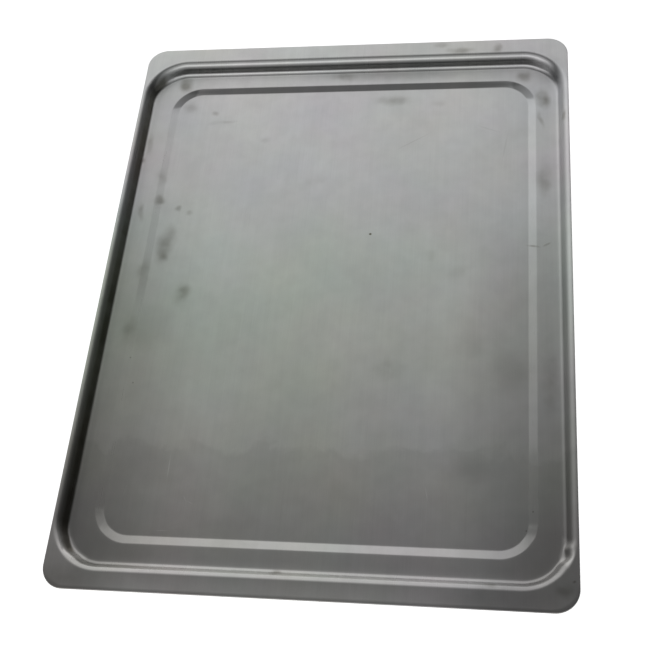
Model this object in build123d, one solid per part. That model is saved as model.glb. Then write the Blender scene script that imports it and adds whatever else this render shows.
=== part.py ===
"""A shallow rectangular oven tray, pressed from one sheet of stainless steel.

Millimetres, +Z up, length along Y, width along X. The origin is the middle of the underside of the
sunken panel, which is the face that the tray stands on.
"""
from build123d import *

import os
from math import radians, sin, tan

# Driving dimensions
LENGTH = 435.0             # outside edge to outside edge of the rim, along Y
WIDTH = 327.0              # the same, along X
OUTER_CORNER_RADIUS = 15.0
SHEET = 0.8                # thickness of the steel
RIM_ABOVE_FLOOR = 9.0      # top of the rim above the top of the floor band
RIM_EDGE_RADIUS = 0.55     # rounding along the trimmed outer edge

END_RIM_WIDTH = 12.3       # flat rim at the two short ends, up to the start of the upper bend
SIDE_RIM_WIDTH = 0.8       # flat rim along the two long sides
BEND_CORNER_RADIUS = 34.0  # plan radius where the upper bend starts
WALL_ANGLE = 72.0          # steepness of the wall, from the horizontal
UPPER_BEND_RADIUS = 5.0    # both bend radii are on the top face of the sheet
LOWER_BEND_RADIUS = 4.2

STEP_LENGTH = 369.0        # outer outline of the sloping step
STEP_WIDTH = 280.0
STEP_CORNER_RADIUS = 24.0
STEP_BAND = 5.4            # width of the slope, seen from above
STEP_DEPTH = 1.2           # how far the panel lies below the floor band
STEP_BEND_RADIUS = 5.0     # small rounding at the top and the foot of the slope

TOLERANCE = 0.001          # for picking out level faces and edges

# Heights of the sheet's top face
PANEL_TOP = SHEET
FLOOR_TOP = PANEL_TOP + STEP_DEPTH
RIM_TOP = FLOOR_TOP + RIM_ABOVE_FLOOR

WALL_TAPER = 90.0 - WALL_ANGLE
WALL_SHIFT = SHEET / sin(radians(WALL_ANGLE))        # the sheet's thickness, measured level through the wall
UPPER_TANGENT = UPPER_BEND_RADIUS * tan(radians(WALL_ANGLE / 2))
STEP_ANGLE = Vector(STEP_BAND, STEP_DEPTH, 0).get_angle(Vector(1, 0, 0))
STEP_TAPER = 90.0 - STEP_ANGLE
STEP_SHIFT = SHEET * tan(radians(STEP_ANGLE / 2))    # keeps the sloping sheet as thick as the flat sheet

# Where the wall's top face would meet the rim's if there were no bend
MOUTH_WIDTH = WIDTH - 2 * (SIDE_RIM_WIDTH + UPPER_TANGENT)
MOUTH_LENGTH = LENGTH - 2 * (END_RIM_WIDTH + UPPER_TANGENT)
MOUTH_CORNER_RADIUS = BEND_CORNER_RADIUS - UPPER_TANGENT


def outline(width, length, corner_radius, height):
    """A level rounded rectangle at a given height."""
    return Pos(0, 0, height) * RectangleRounded(width, length, corner_radius)


def bowl(top, bottom, shift):
    """The tapered block inside the wall, between two heights, its sides moved out by shift."""
    inset = (RIM_TOP - top) / tan(radians(WALL_ANGLE)) - shift
    face = outline(MOUTH_WIDTH - 2 * inset, MOUTH_LENGTH - 2 * inset, MOUTH_CORNER_RADIUS - inset, top)
    return extrude(face, amount=top - bottom, dir=(0, 0, -1), taper=WALL_TAPER)


def sunken_block(top, shift):
    """The low tapered block of the step and the panel, its sides moved out by shift."""
    face = outline(STEP_WIDTH + 2 * shift, STEP_LENGTH + 2 * shift, STEP_CORNER_RADIUS + shift, top)
    return extrude(face, amount=STEP_DEPTH, dir=(0, 0, -1), taper=STEP_TAPER)


def level(shapes, height):
    """Those of the shapes that lie level at a given height."""
    return shapes.filter_by_position(Axis.Z, height - TOLERANCE, height + TOLERANCE)


def inner_outline(solid, height):
    """The edges around the opening in the level face at a given height."""
    ring = level(solid.faces(), height).sort_by(SortBy.AREA)[-1]
    return ring.inner_wires()[0].edges()


def basin(top, floor, shift, step_shift, foot_radius, brow_radius, toe_radius):
    """The bowl with the step and the panel under it, and its bends rounded.

    foot_radius is at the foot of the wall, brow_radius at the top of the step, toe_radius at its foot.
    """
    form = bowl(top, floor, shift) + sunken_block(floor, step_shift)
    form = fillet(inner_outline(form, floor), brow_radius)
    form = fillet(level(form.edges(), floor - STEP_DEPTH), toe_radius)
    foot = level(form.faces(), floor).sort_by(SortBy.AREA)[-1].outer_wire().edges()
    return fillet(foot, foot_radius)


def outer_form():
    """Everything down to the underside and out to the outer edge of the sheet, with no hollow yet."""
    rim = extrude(outline(WIDTH, LENGTH, OUTER_CORNER_RADIUS, RIM_TOP), amount=SHEET, dir=(0, 0, -1))
    rim = fillet(level(rim.edges(), RIM_TOP), RIM_EDGE_RADIUS)
    underside = RIM_TOP - SHEET
    form = rim + basin(
        underside,
        FLOOR_TOP - SHEET,
        WALL_SHIFT,
        STEP_SHIFT,
        LOWER_BEND_RADIUS + SHEET,
        STEP_BEND_RADIUS - SHEET,
        STEP_BEND_RADIUS,
    )
    return fillet(inner_outline(form, underside), UPPER_BEND_RADIUS - SHEET)


def hollow():
    """The space above the sheet's top face, inside the wall."""
    return basin(
        RIM_TOP,
        FLOOR_TOP,
        0,
        0,
        LOWER_BEND_RADIUS,
        STEP_BEND_RADIUS,
        STEP_BEND_RADIUS - SHEET,
    )


def pressed_tray():
    """The finished tray as one solid of even thickness."""
    tray = outer_form() - hollow()
    return fillet(inner_outline(tray, RIM_TOP), UPPER_BEND_RADIUS)


parts = {"pressed_tray": pressed_tray()}

os.makedirs("parts", exist_ok=True)
for name, solid in parts.items():
    solid.label = name
    export_step(solid, f"parts/{name}.step")
    box = solid.bounding_box()
    print(name, "solids", len(solid.solids()), "volume mm3", round(solid.volume), "size", box.size)
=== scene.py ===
"""A shallow oven tray pressed from one sheet of brushed stainless steel, on a pale studio floor.

Metres, in the frame of the CAD model: +Z up, the tray's length along Y, its underside at Z = 0.
"""

from collections import namedtuple
from math import atan, cos, exp, pi, radians, sin, tan

import bpy
from mathutils import Euler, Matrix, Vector, noise


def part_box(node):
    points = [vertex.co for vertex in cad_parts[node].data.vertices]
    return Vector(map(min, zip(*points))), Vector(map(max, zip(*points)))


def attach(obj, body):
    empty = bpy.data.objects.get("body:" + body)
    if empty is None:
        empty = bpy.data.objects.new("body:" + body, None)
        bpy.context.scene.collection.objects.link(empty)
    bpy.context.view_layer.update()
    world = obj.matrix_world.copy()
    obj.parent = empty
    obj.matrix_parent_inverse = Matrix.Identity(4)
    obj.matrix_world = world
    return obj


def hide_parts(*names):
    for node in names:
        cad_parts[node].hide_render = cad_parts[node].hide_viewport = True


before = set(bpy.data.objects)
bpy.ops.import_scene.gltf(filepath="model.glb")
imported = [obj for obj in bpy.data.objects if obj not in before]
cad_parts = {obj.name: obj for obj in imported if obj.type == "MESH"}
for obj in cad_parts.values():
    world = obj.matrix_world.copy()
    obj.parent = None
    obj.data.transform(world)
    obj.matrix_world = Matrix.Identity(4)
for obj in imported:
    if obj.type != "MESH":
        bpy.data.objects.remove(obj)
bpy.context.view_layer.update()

MM = 0.001

# The sheet. The tray's outside sizes come from the CAD node.
tray_low, tray_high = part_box("pressed_tray")
RIM_TOP = tray_high[2]
SHEET = 0.8 * MM
STEP_DEPTH = 1.2 * MM
PANEL_TOP = SHEET
FLOOR_TOP = PANEL_TOP + STEP_DEPTH
EDGE_RADIUS = 0.55 * MM
EDGE_BREAK = 0.12 * MM          # where the trimmed edge meets the underside
WALL_ANGLE = radians(72)
OUTER_CORNER_RADIUS = 15 * MM
BEND_CORNER_RADIUS = 34 * MM    # plan radius where the upper bend starts
STEP_HALF_WIDTH = 140 * MM      # to the top of the step, from the tray's middle
STEP_HALF_LENGTH = 184.5 * MM
STEP_CORNER_RADIUS = 24 * MM
STEP_BEND_RADIUS = 4.0 * MM
STEP_BAND = 5.4 * MM
STEP_ANGLE = atan(STEP_DEPTH / STEP_BAND)
FOOT_ANGLE = radians(1.5)       # the floor band curls up a little towards the foot of the wall
FOOT_CURL = 4.0 * MM            # how far from the wall that starts
BACK_CURL = 0.40 * MM           # it curls up more along the back
BACK_CURL_WIDTH = 10.0 * MM
FRONT_LIFT = 0.35 * MM          # the outer edge of the front rim is bent up by this much
FRONT_LIFT_WIDTH = 12.0 * MM
FRONT_LIFT_POWER = 1.6          # above 1, the lift grows faster towards the edge
PUCKER = 0.22 * MM              # how far the wall's corners are puckered in and out
PUCKER_RATE = 9                 # about how many puckers there are to a radian of turn
PUCKER_SHIFT = 0.6              # keeps the four corners' puckers from being alike
WAVE_HEIGHT = 0.10 * MM         # the sheet's slight unevenness
WAVE_LENGTH = 0.075

# How finely the mesh follows the shape
EDGE_STEPS = 5
ARC_STEPS = 40
WIDTH_STEPS = 28
LENGTH_STEPS = 38
BEND_STEPS = 12
STEP_BEND_STEPS = 4
FLAT_STEPS = 6
LAST_RIM_SHARE = 0.96           # one more ring on the rim, just before its bend
PANEL_INSETS = (0.6, 4, 9, 14)  # rings on the panel, in millimetres from the foot of the step

# A rounded rectangle: how far it reaches to each side, to the back (+Y) and to the front (-Y).
Outline = namedtuple("Outline", "half_width back front radius")
# heights are the top face's along the long sides, the back and the front. slope is its fall towards the
# middle. polish is 0 on the flat sheet and rises to 1 where the press ironed it.
Station = namedtuple("Station", "outline heights slope polish")
# A wall seen in section: how wide the flat rim is, the radius of the upper bend down to the break angle
# and below it, and the radius of the lower bend.
Section = namedtuple("Section", "rim upper_radius wall_radius lower_radius")
BREAK_ANGLE = radians(45)
SIDE_SECTION = Section(0.7 * MM, 4.0 * MM, 8.0 * MM, 2.8 * MM)
BACK_SECTION = Section(11.6 * MM, 6.0 * MM, 10.0 * MM, 4.4 * MM)
FRONT_SECTION = Section(11.8 * MM, 5.0 * MM, 6.0 * MM, 3.2 * MM)
SECTIONS = (SIDE_SECTION, BACK_SECTION, FRONT_SECTION)


# ---------------------------------------------------------------- the pressed sheet

def moved_in(outline, distance):
    """The outline's parallel, this far inside it."""
    return Outline(*(size - distance for size in outline))


def between(start, end, share):
    return Outline(*(a + (b - a) * share for a, b in zip(start, end)))


# A crease down the wall at one of its corners. turn is anticlockwise from the +X side, and push is
# outwards.
Crease = namedtuple("Crease", "turn width push")
CREASES = [
    Crease(radians(205), radians(6), -0.5 * MM),
    Crease(radians(222), radians(5), 0.5 * MM),
    Crease(radians(238), radians(5), -0.3 * MM),
    Crease(radians(324), radians(6), -0.7 * MM),
    Crease(radians(337), radians(5), 1.2 * MM),
    Crease(radians(349), radians(4), -0.8 * MM),
]

OUTER_EDGE = Outline(tray_high[0], tray_high[1], -tray_low[1], OUTER_CORNER_RADIUS)
STEP_TOP = Outline(STEP_HALF_WIDTH, STEP_HALF_LENGTH, STEP_HALF_LENGTH, STEP_CORNER_RADIUS)


def inside_edge(insets, radius):
    """The outline this far in from the outer edge at the sides, the back and the front."""
    side, back, front = insets
    return Outline(OUTER_EDGE.half_width - side, OUTER_EDGE.back - back, OUTER_EDGE.front - front, radius)


RIM_BEND = inside_edge([section.rim for section in SECTIONS], BEND_CORNER_RADIUS)


def level_station(outline, height, slope=0.0, polish=0.0):
    return Station(outline, (height, height, height), slope, polish)


def rim_stations():
    """The flat rim, from its rounded outer edge to the bend."""
    start = moved_in(OUTER_EDGE, EDGE_RADIUS)
    shares = [step / FLAT_STEPS for step in range(FLAT_STEPS)] + [LAST_RIM_SHARE]
    return [level_station(between(start, RIM_BEND, share), RIM_TOP) for share in shares]


def foot_curl_lift(distance):
    """How high the floor band lies above its level part, at a distance from the foot of the wall."""
    left = max(0.0, 1 - distance / FOOT_CURL)
    return tan(FOOT_ANGLE) * FOOT_CURL / 2 * left ** 2


def upper_bend(section, slope):
    """The inset from the outer edge and the drop, where the upper bend has reached a slope."""
    tight = min(slope, BREAK_ANGLE)
    tight_inset = section.upper_radius * sin(tight)
    tight_drop = section.upper_radius * (1 - cos(tight))
    loose_inset = section.wall_radius * (sin(slope) - sin(tight))
    loose_drop = section.wall_radius * (cos(tight) - cos(slope))
    return section.rim + tight_inset + loose_inset, tight_drop + loose_drop


def wall_path(section):
    """The two bends and the wall between them: each point's inset from the outer edge and its height."""
    path = []
    for step in range(BEND_STEPS + 1):
        inset, drop = upper_bend(section, WALL_ANGLE * step / BEND_STEPS)
        path.append((inset, RIM_TOP - drop))
    wall_start, wall_top = path[-1]
    foot_rise = section.lower_radius * (cos(FOOT_ANGLE) - cos(WALL_ANGLE))
    wall_foot = FLOOR_TOP + foot_curl_lift(0.0) + foot_rise
    wall_end = wall_start + (wall_top - wall_foot) / tan(WALL_ANGLE)
    for step in range(BEND_STEPS + 1):
        slope = foot_slope(step)
        inset = wall_end + section.lower_radius * (sin(WALL_ANGLE) - sin(slope))
        path.append((inset, wall_foot - section.lower_radius * (cos(slope) - cos(WALL_ANGLE))))
    return path


def foot_slope(step):
    return WALL_ANGLE + (FOOT_ANGLE - WALL_ANGLE) * step / BEND_STEPS


def wall_stations():
    """The wall with its two bends, from the rim to the floor band."""
    slopes = [WALL_ANGLE * step / BEND_STEPS for step in range(BEND_STEPS + 1)]
    slopes += [foot_slope(step) for step in range(BEND_STEPS + 1)]
    paths = [wall_path(section) for section in SECTIONS]
    stations = []
    for slope, *points in zip(slopes, *paths):
        insets = [inset for inset, height in points]
        from_rim = sum(insets) - sum(section.rim for section in SECTIONS)
        outline = inside_edge(insets, BEND_CORNER_RADIUS - from_rim / len(SECTIONS))
        stations.append(Station(outline, tuple(height for inset, height in points), slope, 1.0))
    return stations


def band_stations(foot):
    """The floor band, from the foot of the wall to the top of the step."""
    step_start = moved_in(STEP_TOP, -STEP_BEND_RADIUS * tan(STEP_ANGLE / 2))
    width = foot.back - step_start.back
    stations = []
    for step in range(1, 2 * FLAT_STEPS):
        share = step / (2 * FLAT_STEPS)
        distance = width * share
        slope = FOOT_ANGLE * max(0.0, 1 - distance / FOOT_CURL)
        lift = foot_curl_lift(distance)
        stations.append(level_station(between(foot, step_start, share), FLOOR_TOP + lift, slope))
    return stations


def step_stations():
    """The sloping step, with a small bend at its top and another at its foot."""
    stations = []
    reach = STEP_BEND_RADIUS * tan(STEP_ANGLE / 2)
    for step in range(STEP_BEND_STEPS + 1):
        slope = STEP_ANGLE * step / STEP_BEND_STEPS
        inward = STEP_BEND_RADIUS * sin(slope) - reach
        height = FLOOR_TOP - STEP_BEND_RADIUS * (1 - cos(slope))
        stations.append(level_station(moved_in(STEP_TOP, inward), height, slope, slope / STEP_ANGLE))
    for step in range(STEP_BEND_STEPS + 1):
        slope = STEP_ANGLE * (1 - step / STEP_BEND_STEPS)
        inward = STEP_BAND + reach - STEP_BEND_RADIUS * sin(slope)
        height = PANEL_TOP + STEP_BEND_RADIUS * (1 - cos(slope))
        stations.append(level_station(moved_in(STEP_TOP, inward), height, slope, slope / STEP_ANGLE))
    return stations


def panel_stations(edge):
    """A few rings inside the panel's edge, so that the sheet's unevenness carries on up to the step."""
    return [level_station(moved_in(edge, inset * MM), PANEL_TOP) for inset in PANEL_INSETS]


def top_stations():
    stations = rim_stations() + wall_stations()
    stations += band_stations(stations[-1].outline)
    stations += step_stations()
    return stations + panel_stations(stations[-1].outline)


def underside(station):
    """The station on the sheet's other face, square to the top face."""
    outline = moved_in(station.outline, -SHEET * sin(station.slope))
    heights = tuple(height - SHEET * cos(station.slope) for height in station.heights)
    return station._replace(outline=outline, heights=heights)


def edge_stations():
    """The trimmed outer edge, from the underside up to the top face."""
    bottom = RIM_TOP - SHEET
    stations = [level_station(moved_in(OUTER_EDGE, EDGE_BREAK), bottom)]
    stations.append(level_station(OUTER_EDGE, bottom + EDGE_BREAK))
    for step in range(EDGE_STEPS):
        turn = pi / 2 * step / EDGE_STEPS
        inward = EDGE_RADIUS * (1 - cos(turn))
        height = RIM_TOP - EDGE_RADIUS * (1 - sin(turn))
        stations.append(level_station(moved_in(OUTER_EDGE, inward), height))
    return stations


def pucker(turn, slope):
    """How far the steep part of a corner is pushed out, where the press gathered the sheet."""
    swell = PUCKER * sin(2 * turn) ** 2 * sin(PUCKER_RATE * turn + PUCKER_SHIFT * sin(turn))
    creases = sum(crease.push * exp(-((turn - crease.turn) / crease.width) ** 2) for crease in CREASES)
    return sin(slope) ** 2 * swell + sin(slope) * creases


def straight_box(outline):
    """The left, right, front and back of the rectangle through the centres of an outline's corners."""
    side = outline.half_width - outline.radius
    return -side, side, outline.radius - outline.front, outline.back - outline.radius


def ring(station):
    """Points around a rounded rectangle, anticlockwise from the start of the +X +Y corner."""
    outline = station.outline
    side_height, back_height, front_height = station.heights
    left, right, front, back = straight_box(outline)
    corners = [(right, back), (left, back), (left, front), (right, front)]
    points = []
    for index, (x, y) in enumerate(corners):
        end_height = back_height if index < 2 else front_height
        for step in range(ARC_STEPS + 1):
            turn = pi / 2 * (index + step / ARC_STEPS)
            radius = outline.radius + pucker(turn, station.slope)
            height = side_height + (end_height - side_height) * sin(turn) ** 2
            points.append(Vector((x + radius * cos(turn), y + radius * sin(turn), height)))
        next_x, next_y = corners[(index + 1) % 4]
        turn = pi / 2 * (index + 1)
        start = points[-1]
        end = Vector((next_x + outline.radius * cos(turn), next_y + outline.radius * sin(turn), start.z))
        steps = LENGTH_STEPS if index % 2 else WIDTH_STEPS
        points += [start.lerp(end, step / steps) for step in range(1, steps)]
    return points


BACK_FOOT = OUTER_EDGE.back - wall_path(BACK_SECTION)[-1][0]


def share_past(value, start, width):
    """0 before the start, 1 a width further on, and evenly between."""
    return min(1.0, max(0.0, (value - start) / width))


def uneven(point):
    """The point with the sheet's slight unevenness, the curl along the back and the front rim's lift."""
    swing = noise.noise(Vector((point.x / WAVE_LENGTH, point.y / WAVE_LENGTH, 0.0)))
    wave = WAVE_HEIGHT * (0.5 + 0.5 * swing)
    near_back = share_past(point.y, BACK_FOOT - BACK_CURL_WIDTH, BACK_CURL_WIDTH)
    below_rim = 1 - share_past(point.z, FLOOR_TOP, RIM_TOP - FLOOR_TOP)
    curl = BACK_CURL * near_back ** 2 * below_rim
    near_front = share_past(-point.y, OUTER_EDGE.front - FRONT_LIFT_WIDTH, FRONT_LIFT_WIDTH)
    lift = FRONT_LIFT * near_front ** FRONT_LIFT_POWER
    return Vector((point.x, point.y, point.z + wave + curl + lift))


def panel_faces(ring_start, outline, height, points, up):
    """Fills the inside of a ring with a grid, adding its points, and returns the faces."""
    left, right, front, back = straight_box(outline)
    grid_start = len(points)
    for row in range(LENGTH_STEPS + 1):
        for column in range(WIDTH_STEPS + 1):
            x = left + (right - left) * column / WIDTH_STEPS
            y = front + (back - front) * row / LENGTH_STEPS
            points.append(Vector((x, y, height)))

    def grid(column, row):
        return grid_start + row * (WIDTH_STEPS + 1) + column

    faces = []
    for row in range(LENGTH_STEPS):
        for column in range(WIDTH_STEPS):
            near_edge = (grid(column, row), grid(column + 1, row))
            far_edge = (grid(column + 1, row + 1), grid(column, row + 1))
            faces.append(near_edge + far_edge)
    last_column, last_row = WIDTH_STEPS, LENGTH_STEPS
    sides = [
        [grid(last_column - step, last_row) for step in range(WIDTH_STEPS + 1)],
        [grid(0, last_row - step) for step in range(LENGTH_STEPS + 1)],
        [grid(step, 0) for step in range(WIDTH_STEPS + 1)],
        [grid(last_column, step) for step in range(LENGTH_STEPS + 1)],
    ]
    ring_size = 4 * ARC_STEPS + 2 * (WIDTH_STEPS + LENGTH_STEPS)
    at = 0
    for side in sides:
        for step in range(ARC_STEPS):
            faces.append((side[0], ring_start + at + step, ring_start + at + step + 1))
        at += ARC_STEPS
        for step in range(len(side) - 1):
            near = ring_start + (at + step) % ring_size
            far = ring_start + (at + step + 1) % ring_size
            faces.append((side[step], near, far, side[step + 1]))
        at += len(side) - 1
    return faces if up else [face[::-1] for face in faces]


def sheet_mesh():
    """One closed mesh: the underside from the middle out, the edge, then the top face inwards."""
    top = top_stations()
    stations = [underside(station) for station in reversed(top)][:-1] + edge_stations() + top
    points = []
    for station in stations:
        points += ring(station)
    count = len(points) // len(stations)
    faces = []
    for row in range(len(stations) - 1):
        for column in range(count):
            after = (column + 1) % count
            here, there = row * count, (row + 1) * count
            faces.append((here + column, here + after, there + after, there + column))
    first, last = stations[0], stations[-1]
    faces += panel_faces(0, first.outline, first.heights[0], points, up=False)
    faces += panel_faces((len(stations) - 1) * count, last.outline, last.heights[0], points, up=True)
    mesh = bpy.data.meshes.new("steel_tray")
    mesh.from_pydata([uneven(point) for point in points], [], faces)
    polish = mesh.attributes.new("polish", "FLOAT", "POINT")
    for index in range(len(stations) * count):
        polish.data[index].value = stations[index // count].polish
    return mesh


def add_grain_map(mesh):
    """A flat UV map. Its U runs across the tray, square to the brushing."""
    layer = mesh.uv_layers.new(name="grain")
    for loop in mesh.loops:
        place = mesh.vertices[loop.vertex_index].co
        layer.data[loop.index].uv = (place.x, place.y)


def make_tray():
    mesh = sheet_mesh()
    add_grain_map(mesh)
    for face in mesh.polygons:
        face.use_smooth = True
    tray = bpy.data.objects.new("steel_tray", mesh)
    bpy.context.scene.collection.objects.link(tray)
    tray.data.materials.append(brushed_steel())
    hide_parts("pressed_tray")
    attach(tray, "root")


# ---------------------------------------------------------------- node trees

# Noise is rarely lower or higher than these.
NOISE_LOW = 0.2
NOISE_HIGH = 0.8
# The Mix node's sockets share their names, so they are reached by number: its A, B and result.
NUMBER_SOCKETS = (2, 3, 0)
COLOUR_SOCKETS = (6, 7, 2)
# A smooth change from to_low to to_high, as the value that it depends on goes from low to high.
Fade = namedtuple("Fade", "low high to_low to_high", defaults=(0.0, 1.0))


class Tree:
    """Shorthand for a node tree. An input takes another node's output or a plain value."""

    def __init__(self, tree):
        self.nodes = tree.nodes
        self.links = tree.links

    def feed(self, socket, value):
        if isinstance(value, bpy.types.NodeSocket):
            self.links.new(value, socket)
        else:
            socket.default_value = value

    def add(self, kind, inputs=None, **settings):
        node = self.nodes.new(kind)
        for name, value in settings.items():
            setattr(node, name, value)
        for name, value in (inputs or {}).items():
            self.feed(node.inputs[name], value)
        return node

    def math(self, operation, *values):
        node = self.add("ShaderNodeMath", operation=operation)
        for socket, value in zip(node.inputs, values):
            self.feed(socket, value)
        return node.outputs["Value"]

    def product(self, first, *others):
        for value in others:
            first = self.math("MULTIPLY", first, value)
        return first

    def vector(self, operation, *values):
        node = self.add("ShaderNodeVectorMath", operation=operation)
        for socket, value in zip(node.inputs, values):
            self.feed(socket, value)
        return node.outputs["Vector"]

    def scaled(self, vector, scale):
        node = self.add("ShaderNodeVectorMath", {"Vector": vector, "Scale": scale}, operation="SCALE")
        return node.outputs["Vector"]

    def faded(self, value, fade):
        inputs = {
            "Value": value,
            "From Min": fade.low,
            "From Max": fade.high,
            "To Min": fade.to_low,
            "To Max": fade.to_high,
        }
        return self.add("ShaderNodeMapRange", inputs, interpolation_type="SMOOTHSTEP").outputs["Result"]

    def swing(self, noise, middle, amount):
        """The middle value, and up to this amount less or more as the noise goes from low to high."""
        return self.faded(noise, Fade(NOISE_LOW, NOISE_HIGH, middle - amount, middle + amount))

    def mixed(self, factor, kind, sockets, start, end):
        """The start where the factor is 0, and the end where it is 1."""
        mix = self.add("ShaderNodeMix", {"Factor": factor}, data_type=kind)
        a, b, result = sockets
        self.feed(mix.inputs[a], start)
        self.feed(mix.inputs[b], end)
        return mix.outputs[result]

    def noise(self, vector, scale, detail, distortion=0.0):
        """A noise node. Its Fac and each channel of its Color are about 0.5 on average."""
        inputs = {"Vector": vector, "Scale": scale, "Detail": detail, "Distortion": distortion}
        return self.add("ShaderNodeTexNoise", inputs)

    def curve(self, value, stops):
        """A smooth curve through (value, result) stops, made with a colour ramp."""
        low, high = stops[0][0], stops[-1][0]
        share = self.math("DIVIDE", self.math("SUBTRACT", value, low), high - low)
        node = self.add("ShaderNodeValToRGB", {"Fac": share})
        ramp = node.color_ramp
        ramp.interpolation = "CARDINAL"
        for index, (place, result) in enumerate(stops):
            position = (place - low) / (high - low)
            element = ramp.elements[index] if index < 2 else ramp.elements.new(position)
            element.position = position
            red, green, blue = result if isinstance(result, tuple) else (result, result, result)
            element.color = (red, green, blue, 1)
        return node.outputs["Color"]


# ---------------------------------------------------------------- marks on the steel

# A mark on the steel, in millimetres on the tray: its middle, and its size where it is half as strong.
# Its turn is in degrees, anticlockwise from above. strength is how much it darkens the steel, and a
# negative one brightens it.
Mark = namedtuple("Mark", "x y width length turn strength")

SMUDGES = [
    Mark(-132, 188, 8, 12, 10, 0.55),
    Mark(-125, 167, 9, 9, -30, 0.26),
    Mark(-105, 160, 5, 4, 0, 0.30),
    Mark(-98, 151, 18, 3, 3, 0.18),
    Mark(-62, 134, 6, 5, 0, 0.22),
    Mark(-152, 131, 4, 14, 5, 0.28),
    Mark(-155, 115, 3, 5, 0, 0.35),
    Mark(-138, 99, 7, 12, 0, 0.22),
    Mark(-136.5, 79, 7, 7, 0, 0.55),
    Mark(-149, 68, 4, 13, 12, 0.32),
    Mark(-121, 72, 4, 5, 0, 0.28),
    Mark(-112, 68, 5, 4, 0, 0.26),
    Mark(-126, 42, 11, 20, -8, 0.38),
    Mark(-127, 28, 8, 9, 0, 0.42),
    Mark(-138, 16, 8, 18, 0, 0.28),
    Mark(-107, -1.5, 9, 13, -20, 0.40),
    Mark(-141, -30, 9, 16, 0, 0.22),
    Mark(-20, 96, 13, 8, 0, 0.12),
    Mark(-5, 193, 14, 6, 0, 0.30),
    Mark(34, 169, 23, 7, -2, 0.26),
    Mark(68, 165, 10, 5, 0, 0.18),
    Mark(132, 188, 10, 9, 0, 0.40),
    Mark(145, 167, 8, 14, 10, 0.60),
    Mark(144, 146, 3, 13, 15, 0.32),
    Mark(146, 93, 8, 22, 0, 0.30),
    Mark(148, -64, 8, 42, 0, 0.26),
    Mark(44, -60, 18, 12, 0, 0.18),
    Mark(87, 17, 12, 9, 30, 0.12),
    Mark(67, 30, 8, 8, 0, 0.12),
    Mark(111, 209, 5, 8, 0, 0.40),
    Mark(84, 208, 16, 5, 0, 0.34),
    Mark(69, 214, 8, 4, 0, 0.30),
    Mark(160, 144, 2, 7, 0, 0.35),
    Mark(-17, -200, 5, 4, 0, 0.40),
    Mark(112, -202, 6, 4, 0, 0.40),
    Mark(155, -204, 9, 7, 0, 0.30),
    Mark(160, -199, 1.4, 1.4, 0, 0.90),
]

# Painted shade on the back of the floor band and the front rim's corners, and darker patches on the panel
SHADE_AND_DARK_PATCHES = [
    Mark(-130, -32, 28, 25, 0, 0.13),
    Mark(124, -60, 21, 24, 0, 0.16),
    Mark(97, -40, 16, 14, 20, 0.10),
    Mark(-112, -128, 33, 22, 10, 0.06),
    Mark(98, -128, 22, 16, 20, 0.12),
    Mark(30, 194, 88, 10, 0, 0.22),
    Mark(80, 191, 100, 12, 0, 0.12),
    Mark(149, 188, 14, 16, 0, 0.22),
    Mark(118, -213, 56, 15, 0, 0.30),
    Mark(-146, -213, 44, 15, 0, 0.34),
    Mark(108, -80, 44, 150, 0, 0.07),
]

SPECKS = [
    Mark(24, 48, 1.75, 1.54, 0, 0.75),
    Mark(-131, -72, 1.12, 1.12, 0, 0.35),
    Mark(-136, -53, 1.05, 1.05, 0, 0.35),
    Mark(137, -154, 1.12, 1.12, 0, 0.35),
    Mark(133, -166, 1.05, 1.05, 0, 0.35),
]

SCRATCHES = [
    Mark(-96, -132, 0.52, 13, 0, -0.25),
    Mark(-82, -153.5, 0.45, 4, 30, -0.22),
    Mark(-78, -156, 0.45, 4, 65, -0.22),
    Mark(-94, -175, 8, 0.52, 3, -0.22),
    Mark(-123, -150, 0.45, 8, -8, -0.15),
    Mark(72, -145, 0.45, 8, 12, -0.20),
    Mark(51, 130, 0.91, 24, -58, 0.11),
    Mark(106, 140, 14, 1.05, -22, 0.10),
    Mark(118, 124, 0.91, 20, -9, 0.10),
    Mark(138, 37, 8, 1.35, -14, 0.30),
    Mark(147, 38, 5, 1.35, 30, 0.30),
]

# Marks that only the ironed bends show: painted shade along the step, at its corners and on the front of
# its right side, and painted highlights along its left side and at the front corners of the wall
BEND_SHADE_AND_HIGHLIGHTS = [
    Mark(0, 181.8, 255, 9.5, 0, 0.48),
    Mark(-131, 175.5, 9, 26, -45, 0.42),
    Mark(131, 175.5, 9, 22, 45, 0.38),
    Mark(-138, -170, 10, 12, 0, 0.14),
    Mark(-80, -181.8, 100, 9, 0, 0.08),
    Mark(-137, -95, 16, 170, 0, -0.17),
    Mark(137, -145, 16, 60, 0, 0.20),
    Mark(-148, -190, 20, 12, -35, -0.38),
    Mark(156, -180, 9, 22, 15, -0.38),
]

# How soft the edges of each kind of mark are
SMUDGE_SOFTNESS = 0.85
SHADE_AND_DARK_PATCH_SOFTNESS = 0.9
SPECK_SOFTNESS = 0.4
SCRATCH_SOFTNESS = 0.7
BEND_SHADE_AND_HIGHLIGHT_SOFTNESS = 0.2

# What the node group takes in for one mark
MARK_INPUTS = {
    "Place": "Vector",
    "Middle": "Vector",
    "Size": "Vector",
    "Turn": "Float",
    "Softness": "Float",
    "Strength": "Float",
}


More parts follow.
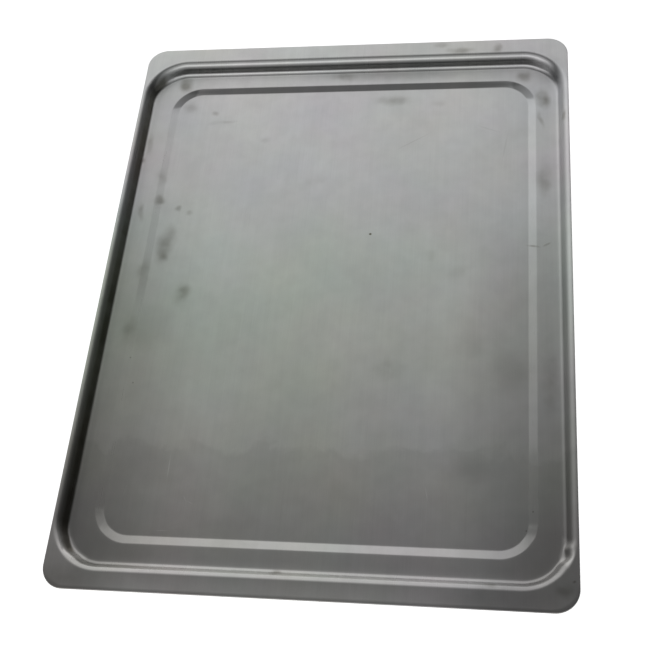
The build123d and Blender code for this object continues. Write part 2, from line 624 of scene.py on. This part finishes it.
def mark_group():
    """Makes the node group that gives the light kept under one mark.

    Softness is 0 for a hard edge, and 1 for a mark that fades from its very middle.
    """
    group = bpy.data.node_groups.new("mark", "ShaderNodeTree")
    for name, kind in MARK_INPUTS.items():
        group.interface.new_socket(name, in_out="INPUT", socket_type="NodeSocket" + kind)
    group.interface.new_socket("Kept", in_out="OUTPUT", socket_type="NodeSocketFloat")
    tree = Tree(group)
    given = tree.add("NodeGroupInput").outputs
    offset = tree.vector("SUBTRACT", given["Place"], given["Middle"])
    rotation = {"Vector": offset, "Angle": given["Turn"]}
    turned = tree.add("ShaderNodeVectorRotate", rotation, rotation_type="Z_AXIS")
    shape = tree.vector("DIVIDE", turned.outputs["Vector"], given["Size"])
    reach = tree.add("ShaderNodeVectorMath", {0: shape}, operation="LENGTH").outputs["Value"]
    inner = tree.math("SUBTRACT", 1.0, given["Softness"])
    outer = tree.math("ADD", 1.0, given["Softness"])
    amount = tree.faded(reach, Fade(inner, outer, 1.0, 0.0))
    kept = tree.math("SUBTRACT", 1.0, tree.math("MULTIPLY", amount, given["Strength"]))
    tree.add("NodeGroupOutput", {"Kept": kept})


def marked(tree, place, marks, softness, fade):
    """How much light the steel keeps under some marks: 1 where there is none. fade weakens all of them."""
    kept = 1.0
    for mark in marks:
        node = tree.add("ShaderNodeGroup", node_tree=bpy.data.node_groups["mark"])
        tree.feed(node.inputs["Place"], place)
        node.inputs["Middle"].default_value = (mark.x, mark.y, 0)
        node.inputs["Size"].default_value = (mark.width / 2, mark.length / 2, 1)
        node.inputs["Turn"].default_value = radians(-mark.turn)
        node.inputs["Softness"].default_value = softness
        strength = tree.math("MULTIPLY", fade, mark.strength)
        tree.feed(node.inputs["Strength"], strength)
        kept = tree.math("MULTIPLY", kept, node.outputs["Kept"])
    return kept


# ---------------------------------------------------------------- the steel's finish

# Places and sizes on the tray are in millimetres.
STEEL_BRIGHTNESS = 0.68
ANISOTROPY = 0.97
FLAT_ROUGHNESS = 0.34
BEND_ROUGHNESS = 0.29
ROUGHNESS_SWING = 0.02                      # over the fine streaks
DIRT_ROUGHNESS = Fade(0.7, 1.0, 0.05, 0.0)  # what dirt adds, over the light kept under it
BUMP_STRENGTH = 0.3
BUMP_DEPTH = 0.003 * MM
BROAD_BUMP = 0.5                            # the broad streaks' share of it

# Streaks along the tray, and how much each kind changes the brightness
Streaks = namedtuple("Streaks", "width length detail swing")
FINE_STREAKS = Streaks(0.45, 45, 3.0, 0.025)
BROAD_STREAKS = Streaks(3.5, 160, 2.0, 0.015)

# Patches of noise, about this far apart
Patches = namedtuple("Patches", "size detail distortion")
CLOUD = Patches(55, 3.0, 0.6)       # the broad unevenness of a rolled sheet
MOTTLE = Patches(11, 4.0, 0.0)
BLOTCH = Patches(14, 2.0, 0.0)      # where smudges and grime are stronger
WOBBLE = Patches(26, 5.0, 0.5)      # the tide line's
RAGGED = Patches(9, 1.5, 0.0)       # the edges of smudges
HEAT = Patches(70, 3.0, 0.0)
CLOUD_SWING = 0.04                  # how much each of them changes the brightness
MOTTLE_SWING = 0.035
HEAT_SWING = 0.06                   # how much the heat colours change each channel
RAGGED_SHIFT = 5.0                  # how far the ragged edges wander, times the noise
SMUDGE_FADE = Fade(0.30, 0.65, 0.35, 0.85)      # over the blotches
SCRATCH_FADE = Fade(0.3, 0.6, 0.4, 1.0)         # over the fine streaks

# Painted shade towards the long sides, over the distance from the tray's middle. How much it darkens the
# steel depends on Y inside the wall, and on both Y and X on the rim.
OFF_MIDDLE = Fade(78, 158)
MARGIN_DEPTH = [(-217, 0.44), (-130, 0.42), (-60, 0.33), (0, 0.30), (60, 0.15), (217, 0.08)]
RIM_DEPTH_ALONG = Fade(-130, 40, 0.30, 0.0)
RIM_DEPTH_ACROSS = Fade(-100, 100, 0.1, 1.0)
RIM_START = Fade((RIM_TOP - 2.5 * MM) / MM, (RIM_TOP - 0.5 * MM) / MM)      # over the height

# The tide line, along Y, and how far it wanders, times the noise
TIDE = Fade(-122, -115, 0.91, 1.0)
TIDE_WOBBLE = 50.0

# The steel's cast along Y: neutral at the back, olive in the middle, straw towards the front
CAST = [
    (-217, (1.0, 0.985, 0.955)),
    (-130, (0.995, 1.0, 0.93)),
    (-80, (0.965, 1.0, 0.92)),
    (-20, (0.925, 1.0, 0.905)),
    (40, (0.935, 1.0, 0.94)),
    (100, (0.985, 1.0, 0.99)),
    (217, (1.0, 0.995, 0.995)),
]
CAST_DEPTH = Fade(-80, 130, 1.0, 0.45)          # across X

# Painted shade low on the left wall: across X, and over the height at its foot and at its top
WALL_SHADE_SIDE = Fade(-150, -146, 1.0, 0.0)
WALL_SHADE_FOOT = Fade(FLOOR_TOP / MM + 0.2, FLOOR_TOP / MM + 0.9)
WALL_SHADE_TOP = Fade(6.0, 10.0, 1.0, 0.0)
WALL_SHADE_DEPTH = Fade(0.3, 0.7, 0.42, 0.58)        # over the blotches

# Dirt and the painted shade on the left wall both take the most from blue, so both look brown
DIRT_AND_SHADE_TAKES = (0.97, 1.0, 1.08)      # dirt takes the most from blue, so it looks brown
FACING_UP = Fade(-0.05, 0.05)       # over the Z of the face's own direction


def streaks(tree, flat, kind):
    stretched = tree.vector("DIVIDE", flat, (kind.width, kind.length, 1.0))
    return tree.noise(stretched, 1.0, kind.detail).outputs["Fac"]


def patches(tree, flat, kind):
    return tree.noise(flat, 1 / kind.size, kind.detail, kind.distortion)


def apart(tree, vector):
    """The vector's X, Y and Z."""
    return tree.add("ShaderNodeSeparateXYZ", {"Vector": vector}).outputs


def ragged_place(tree, flat):
    """The place on the tray, moved about a little, which makes the edges of marks ragged."""
    ragged = patches(tree, flat, RAGGED).outputs["Color"]
    shift = tree.scaled(tree.vector("SUBTRACT", ragged, (0.5, 0.5, 0.5)), RAGGED_SHIFT)
    return tree.vector("MULTIPLY", tree.vector("ADD", flat, shift), (1, 1, 0))


def dirt_shade(tree, flat, ragged, fine, blotch):
    """How much light the steel keeps under smudges, specks and hairline scratches."""
    smudges = marked(tree, ragged, SMUDGES, SMUDGE_SOFTNESS, tree.faded(blotch, SMUDGE_FADE))
    specks = marked(tree, flat, SPECKS, SPECK_SOFTNESS, 1.0)
    scratches = marked(tree, flat, SCRATCHES, SCRATCH_SOFTNESS, tree.faded(fine, SCRATCH_FADE))
    return tree.product(smudges, specks, scratches)


def margin_shade(tree, place):
    """How much light the steel keeps under the painted shade towards its long sides, most of all at the
    front.
    """
    axes = apart(tree, place)
    off_middle = tree.faded(tree.math("ABSOLUTE", axes["X"]), OFF_MIDDLE)
    inside = tree.curve(axes["Y"], MARGIN_DEPTH)
    on_rim = tree.product(tree.faded(axes["Y"], RIM_DEPTH_ALONG), tree.faded(axes["X"], RIM_DEPTH_ACROSS))
    rim = tree.faded(axes["Z"], RIM_START)
    inner_part = tree.math("MULTIPLY", inside, tree.math("SUBTRACT", 1.0, rim))
    depth = tree.math("ADD", inner_part, tree.math("MULTIPLY", on_rim, rim))
    return tree.math("SUBTRACT", 1.0, tree.math("MULTIPLY", off_middle, depth))


def tide_shade(tree, flat):
    """How much light the steel keeps past an uneven tide line across the front of the panel."""
    wobble = patches(tree, flat, WOBBLE).outputs["Fac"]
    shift = tree.math("MULTIPLY", tree.math("SUBTRACT", wobble, 0.5), TIDE_WOBBLE)
    return tree.faded(tree.math("ADD", apart(tree, flat)["Y"], shift), TIDE)


def painted_light_and_stains(tree, place, flat, ragged, polish):
    """How much light the steel keeps under painted shade and highlights, darker patches and the tide line.
    """
    areas = marked(tree, ragged, SHADE_AND_DARK_PATCHES, SHADE_AND_DARK_PATCH_SOFTNESS, 1.0)
    # painted shade and highlights on the ironed bends
    bends = marked(tree, flat, BEND_SHADE_AND_HIGHLIGHTS, BEND_SHADE_AND_HIGHLIGHT_SOFTNESS, polish)
    return tree.product(areas, bends, margin_shade(tree, place), tide_shade(tree, flat))


def left_wall_shade(tree, place, blotch):
    """How much light the steel keeps under the painted shade low on the left wall, which is uneven."""
    axes = apart(tree, place)
    low = tree.product(tree.faded(axes["Z"], WALL_SHADE_FOOT), tree.faded(axes["Z"], WALL_SHADE_TOP))
    where = tree.product(tree.faded(axes["X"], WALL_SHADE_SIDE), low)
    return tree.math("SUBTRACT", 1.0, tree.math("MULTIPLY", where, tree.faded(blotch, WALL_SHADE_DEPTH)))


def brushing(tree, flat, fine, broad):
    """How the steel's brightness varies around 1 with its brushing and unevenness."""
    cloud = patches(tree, flat, CLOUD).outputs["Fac"]
    mottle = patches(tree, flat, MOTTLE).outputs["Fac"]
    swings = [(fine, FINE_STREAKS.swing), (broad, BROAD_STREAKS.swing), (cloud, CLOUD_SWING),
              (mottle, MOTTLE_SWING)]
    return tree.product(*(tree.swing(pattern, 1.0, amount) for pattern, amount in swings))


def tint(tree, place):
    """The steel's faint cast, which is stronger on the left."""
    axes = apart(tree, place)
    depth = tree.faded(axes["X"], CAST_DEPTH)
    return tree.mixed(depth, "RGBA", COLOUR_SOCKETS, (1, 1, 1, 1), tree.curve(axes["Y"], CAST))


def heat_cast(tree, flat):
    """Faint patches of colour, as heat leaves on steel: each channel wanders by itself around 1."""
    colours = tree.scaled(patches(tree, flat, HEAT).outputs["Color"], 2 * HEAT_SWING)
    return tree.vector("ADD", colours, (1 - HEAT_SWING, 1 - HEAT_SWING, 1 - HEAT_SWING))


def brown(tree, kept):
    """The colour of steel that keeps this much light under dirt, and under the painted shade on the left
    wall.
    """
    lost = tree.math("SUBTRACT", 1.0, kept)
    return tree.vector("SUBTRACT", (1, 1, 1), tree.scaled(DIRT_AND_SHADE_TAKES, lost))


def only_where(tree, mask, kept):
    """The light kept, brought back to all of it where the mask is 0."""
    lost = tree.math("MULTIPLY", mask, tree.math("SUBTRACT", 1.0, kept))
    return tree.math("SUBTRACT", 1.0, lost)


def roughness(tree, polish, fine, dirt):
    """The steel is smoother where the press ironed the bends, and duller under dirt."""
    limits = {"Value": polish, "To Min": FLAT_ROUGHNESS, "To Max": BEND_ROUGHNESS}
    polished = tree.add("ShaderNodeMapRange", limits).outputs["Result"]
    brushed = tree.math("ADD", polished, tree.swing(fine, 0.0, ROUGHNESS_SWING))
    return tree.math("ADD", brushed, tree.faded(dirt, DIRT_ROUGHNESS))


def brushed_steel():
    material = bpy.data.materials.new("brushed_steel")
    material.use_nodes = True
    tree = Tree(material.node_tree)
    mark_group()

    coordinates = tree.add("ShaderNodeTexCoord").outputs["Object"]
    place = tree.scaled(coordinates, 1 / MM)
    flat = tree.vector("MULTIPLY", place, (1, 1, 0))
    # 1 where the press ironed the bends, 0 on the flat sheet
    polish = tree.add("ShaderNodeAttribute", attribute_name="polish").outputs["Fac"]
    fine = streaks(tree, flat, FINE_STREAKS)
    broad = streaks(tree, flat, BROAD_STREAKS)
    blotch = patches(tree, flat, BLOTCH).outputs["Fac"]
    ragged = ragged_place(tree, flat)

    # Dirt, the tide line, darker patches and the painted shade and highlights are only on the side that
    # faces up
    direction = tree.add("ShaderNodeNewGeometry").outputs["True Normal"]
    facing_up = tree.faded(apart(tree, direction)["Z"], FACING_UP)
    dirt = only_where(tree, facing_up, dirt_shade(tree, flat, ragged, fine, blotch))
    # painted shade and highlights, darker patches and the tide line
    shade_and_stains = only_where(tree, facing_up, painted_light_and_stains(tree, place, flat, ragged, polish))
    # painted shade low on the left wall
    wall_shade = only_where(tree, facing_up, left_wall_shade(tree, place, blotch))

    brightness = tree.product(brushing(tree, flat, fine, broad), shade_and_stains, STEEL_BRIGHTNESS)
    cast = tree.vector("MULTIPLY", tint(tree, place), heat_cast(tree, flat))
    # the dirt and the painted shade on the left wall both tint the steel brown
    for kept in (dirt, wall_shade):
        cast = tree.vector("MULTIPLY", cast, brown(tree, kept))
    height = tree.math("ADD", fine, tree.math("MULTIPLY", broad, BROAD_BUMP))
    bump = tree.add("ShaderNodeBump", {"Strength": BUMP_STRENGTH, "Distance": BUMP_DEPTH, "Height": height})
    tangent = tree.add("ShaderNodeTangent", direction_type="UV_MAP", uv_map="grain")

    shader = tree.nodes["Principled BSDF"].inputs
    shader["Metallic"].default_value = 1.0
    shader["Anisotropic"].default_value = ANISOTROPY
    tree.feed(shader["Base Color"], tree.scaled(cast, brightness))
    tree.feed(shader["Roughness"], roughness(tree, polish, fine, dirt))
    tree.feed(shader["Normal"], bump.outputs["Normal"])
    tree.feed(shader["Tangent"], tangent.outputs["Tangent"])
    return material


# ---------------------------------------------------------------- the studio

FLOOR_REACH = 4.0
FLOOR_HEIGHT = -0.2 * MM        # just under the tray, so that the two don't share a plane
FLOOR_GREY = 0.8
FLOOR_GLOW = 0.8

CAMERA_PLACE = (0.1201, -0.3795, 0.6508)
CAMERA_TURN = (28.937, 7.9855, 4.975)       # degrees
CAMERA_LENS = 60.822                        # millimetres
CAMERA_SENSOR = 36
CAMERA_CLIP_START = 0.02


def make_floor():
    mesh = bpy.data.meshes.new("studio_floor")
    signs = ((-1, -1), (1, -1), (1, 1), (-1, 1))
    corners = [(x * FLOOR_REACH, y * FLOOR_REACH, FLOOR_HEIGHT) for x, y in signs]
    mesh.from_pydata(corners, [], [(0, 1, 2, 3)])
    floor = bpy.data.objects.new("studio_floor", mesh)
    bpy.context.scene.collection.objects.link(floor)
    material = bpy.data.materials.new("pale_floor")
    material.use_nodes = True
    shader = material.node_tree.nodes["Principled BSDF"].inputs
    shader["Base Color"].default_value = (FLOOR_GREY, FLOOR_GREY, FLOOR_GREY, 1)
    shader["Roughness"].default_value = 1.0
    shader["Emission Color"].default_value = (1, 1, 1, 1)
    shader["Emission Strength"].default_value = FLOOR_GLOW
    floor.data.materials.append(material)


# The studio's light comes from a soft surround, described by two angles in degrees: how far round from
# the level +Y side, over the top, towards the -Y side, and how far to the side, from -90 at -X to 90 at +X.
WINDOW = [
    (0, 1.05), (18, 0.95), (29, 0.88), (45, 0.93), (51, 0.86), (57, 0.72), (63, 0.56), (69, 0.38),
    (75, 0.20), (82, 0.20), (90, 0.34), (97, 0.38), (106, 0.10), (112, 0.0), (180, 0.0),
]
WINDOW_SIDES = [
    (-90, 0.20), (-75, 0.30), (-47, 0.66), (-23, 1.0), (0, 0.76), (16, 0.66), (25, 0.12), (45, 0.02),
    (90, 0.0),
]
OVERHEAD = [
    (0, 0.0), (92, 0.0), (100, 0.25), (106, 0.42), (112, 0.60), (117, 0.95), (123, 1.30), (129, 1.20),
    (135, 0.75), (142, 0.42), (151, 0.26), (160, 0.10), (168, 0.02), (180, 0.0),
]
OVERHEAD_SIDES = [
    (-90, 0.4), (-70, 0.5), (-46, 1.15), (-23, 1.0), (5, 1.0), (22, 0.45), (40, 0.2), (90, 0.2),
]
FILL = 0.022        # the light from everywhere else
BACKDROP = 1.0      # what the camera sees of the surround is plain white


def make_world():
    """A soft surround: a window ahead and to the left, and a strip light behind the camera."""
    world = bpy.data.worlds.new("studio")
    bpy.context.scene.world = world
    world.use_nodes = True
    tree = Tree(world.node_tree)
    direction = tree.add("ShaderNodeTexCoord").outputs["Generated"]
    axes = apart(tree, direction)
    over = tree.math("DEGREES", tree.math("ARCTAN2", axes["Z"], axes["Y"]))
    side = tree.math("DEGREES", tree.math("ARCSINE", axes["X"]))
    window = tree.math("MULTIPLY", tree.curve(over, WINDOW), tree.curve(side, WINDOW_SIDES))
    overhead = tree.math("MULTIPLY", tree.curve(over, OVERHEAD), tree.curve(side, OVERHEAD_SIDES))
    light = tree.math("ADD", tree.math("ADD", window, overhead), FILL)
    seen = tree.add("ShaderNodeLightPath").outputs["Is Camera Ray"]
    shown = tree.mixed(seen, "FLOAT", NUMBER_SOCKETS, light, BACKDROP)
    tree.feed(tree.nodes["Background"].inputs["Color"], shown)


def make_camera():
    camera = bpy.data.objects.new("camera", bpy.data.cameras.new("camera"))
    camera.location = CAMERA_PLACE
    camera.rotation_euler = Euler([radians(angle) for angle in CAMERA_TURN])
    camera.data.lens = CAMERA_LENS
    camera.data.sensor_width = CAMERA_SENSOR
    camera.data.clip_start = CAMERA_CLIP_START
    bpy.context.scene.collection.objects.link(camera)
    bpy.context.scene.camera = camera


bpy.context.scene.view_settings.view_transform = "Standard"
make_camera()
make_world()
make_floor()
make_tray()
